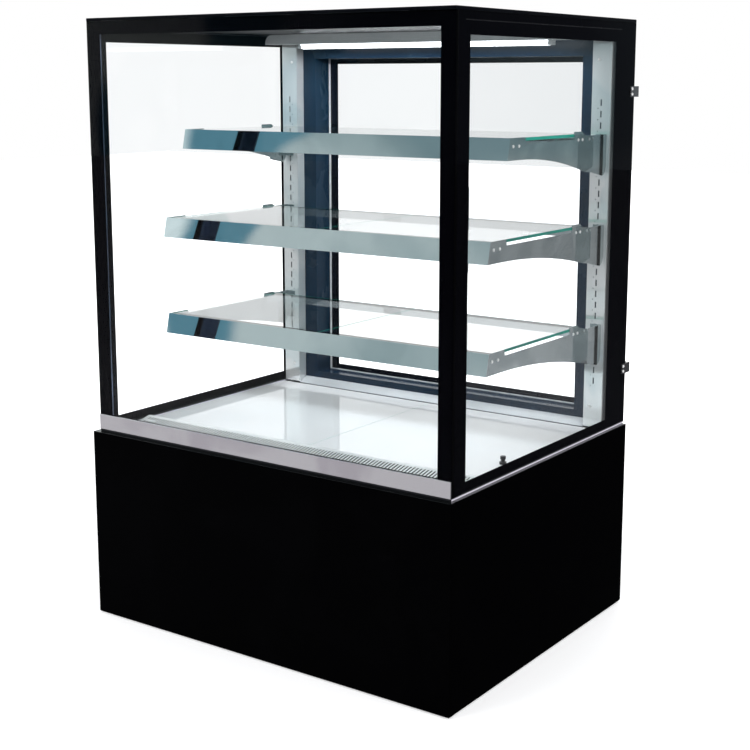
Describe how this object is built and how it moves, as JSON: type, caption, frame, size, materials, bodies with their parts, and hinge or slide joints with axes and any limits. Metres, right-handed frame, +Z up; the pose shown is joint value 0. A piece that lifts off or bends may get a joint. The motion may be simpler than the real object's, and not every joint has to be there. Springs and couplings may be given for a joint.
{
  "type": "refrigerated bakery display case",
  "caption": "Floor-standing refrigerated glass bakery case on a black base, with tilted-front glass shelves on slotted standards, a ceiling light and two hinged rear doors.",
  "frame": {"origin": "on the floor under the middle of the whole case, its door handles included", "axes": "+X to the right seen from the shop side, -Y towards the front glass, +Z up"},
  "size_m": [0.9, 0.755, 1.267],
  "materials": {
    "clear_glass": "clear, polished",
    "green_edged_glass": "clear with green edges",
    "black_print": "gloss black ceramic print",
    "black_gloss_metal": "gloss black powder coat",
    "black_satin_metal": "satin black",
    "stainless": "bright brushed stainless",
    "dark_stainless": "brushed stainless",
    "white_deck": "pale polished steel",
    "led_white": "white diffuser",
    "white_seal": "white magnetic seal",
    "door_frame_paint": "black anodised",
    "galvanised": "galvanised",
    "tub_foam": "moulded liner",
    "fins": "plain fins",
    "fan_plastic": "black moulded",
    "copper": "copper tube",
    "compressor_black": "black enamel",
    "panel_grey": "grey powder coat",
    "controller_black": "gloss black",
    "key_grey": "grey moulded",
    "rocker_green": "green lit rocker",
    "foot_rubber": "black nylon",
    "screw_steel": "stainless"
  },
  "bodies": {
    "case": {"front_glass": "clear_glass", "left_glass": "clear_glass", "right_glass": "clear_glass", "front_glass_border": "black_print", "side_glass_borders": "black_print", "corner_posts": "dark_stainless", "roof_panel": "black_gloss_metal", "front_trim_strip": "stainless", "case_bottom_frame": "black_satin_metal", "deck_panels": "white_deck", "front_air_grille": "stainless", "rear_air_upstand": "stainless", "temperature_probe": "controller_black", "light_housing": "dark_stainless", "light_tube": "led_white", "shelf_standards": "dark_stainless", "pan_head_screws": "screw_steel", "rear_frame": "black_satin_metal", "hinge_brackets": "screw_steel", "base_frame": "galvanised", "base_front_panel": "black_gloss_metal", "base_left_panel": "black_gloss_metal", "base_right_panel": "black_gloss_metal", "rear_service_grille": "black_satin_metal", "base_pan": "galvanised", "levelling_feet": "foot_rubber", "evaporator_tub": "tub_foam", "evaporator_coil": "fins", "evaporator_fan_plate": "galvanised", "compressor": "compressor_black", "condenser_coil": "fins", "fan_shroud": "galvanised", "refrigerant_lines": "copper", "control_panel": "panel_grey", "temperature_controller": "controller_black", "power_inlet": "controller_black", "top_shelf_brackets": "stainless", "top_shelf_rails": "stainless", "top_shelf_glass": "green_edged_glass", "middle_shelf_brackets": "stainless", "middle_shelf_rails": "stainless", "middle_shelf_glass": "green_edged_glass", "bottom_shelf_brackets": "stainless", "bottom_shelf_rails": "stainless", "bottom_shelf_glass": "green_edged_glass"},
    "left_door": {"left_door_frame": "door_frame_paint", "left_door_glass": "clear_glass", "left_door_gasket": "white_seal", "left_door_handle": "stainless"},
    "right_door": {"right_door_frame": "door_frame_paint", "right_door_glass": "clear_glass", "right_door_gasket": "white_seal", "right_door_handle": "stainless"},
    "evaporator_fan": {"evaporator_fan": "fan_plastic"},
    "condenser_fan": {"condenser_fan": "fan_plastic"},
    "set_key": {"set_key": "key_grey"},
    "up_key": {"up_key": "key_grey"},
    "down_key": {"down_key": "key_grey"},
    "power_switch": {"power_switch": "rocker_green"},
    "light_switch": {"light_switch": "rocker_green"}
  },
  "joints": [
    {"name": "left_door_hinge", "type": "hinge", "parent": "case", "child": "left_door", "pos_m": [-0.4365, 0.3535, 0.8], "axis": [0, 0, 1], "range_deg": [0, 100]},
    {"name": "right_door_hinge", "type": "hinge", "parent": "case", "child": "right_door", "pos_m": [0.4365, 0.3535, 0.8], "axis": [0, 0, -1], "range_deg": [0, 100]},
    {"name": "evaporator_fan_spin", "type": "hinge", "parent": "case", "child": "evaporator_fan", "pos_m": [0, 0.0035, 0.348], "axis": [0, 1, 0], "continuous": true},
    {"name": "condenser_fan_spin", "type": "hinge", "parent": "case", "child": "condenser_fan", "pos_m": [-0.23, 0.1605, 0.158], "axis": [0, 1, 0], "continuous": true},
    {"name": "set_key_press", "type": "slide", "parent": "case", "child": "set_key", "axis": [0, -1, 0], "range_m": [0, 0.0008], "stiffness_N_per_m": 300},
    {"name": "down_key_press", "type": "slide", "parent": "case", "child": "down_key", "axis": [0, -1, 0], "range_m": [0, 0.0008], "stiffness_N_per_m": 300},
    {"name": "up_key_press", "type": "slide", "parent": "case", "child": "up_key", "axis": [0, -1, 0], "range_m": [0, 0.0008], "stiffness_N_per_m": 300},
    {"name": "power_switch_rock", "type": "hinge", "parent": "case", "child": "power_switch", "pos_m": [0.33, 0.3325, 0.287], "axis": [1, 0, 0], "range_deg": [-14, 0]},
    {"name": "light_switch_rock", "type": "hinge", "parent": "case", "child": "light_switch", "pos_m": [0.365, 0.3325, 0.287], "axis": [1, 0, 0], "range_deg": [-14, 0]}
  ]
}
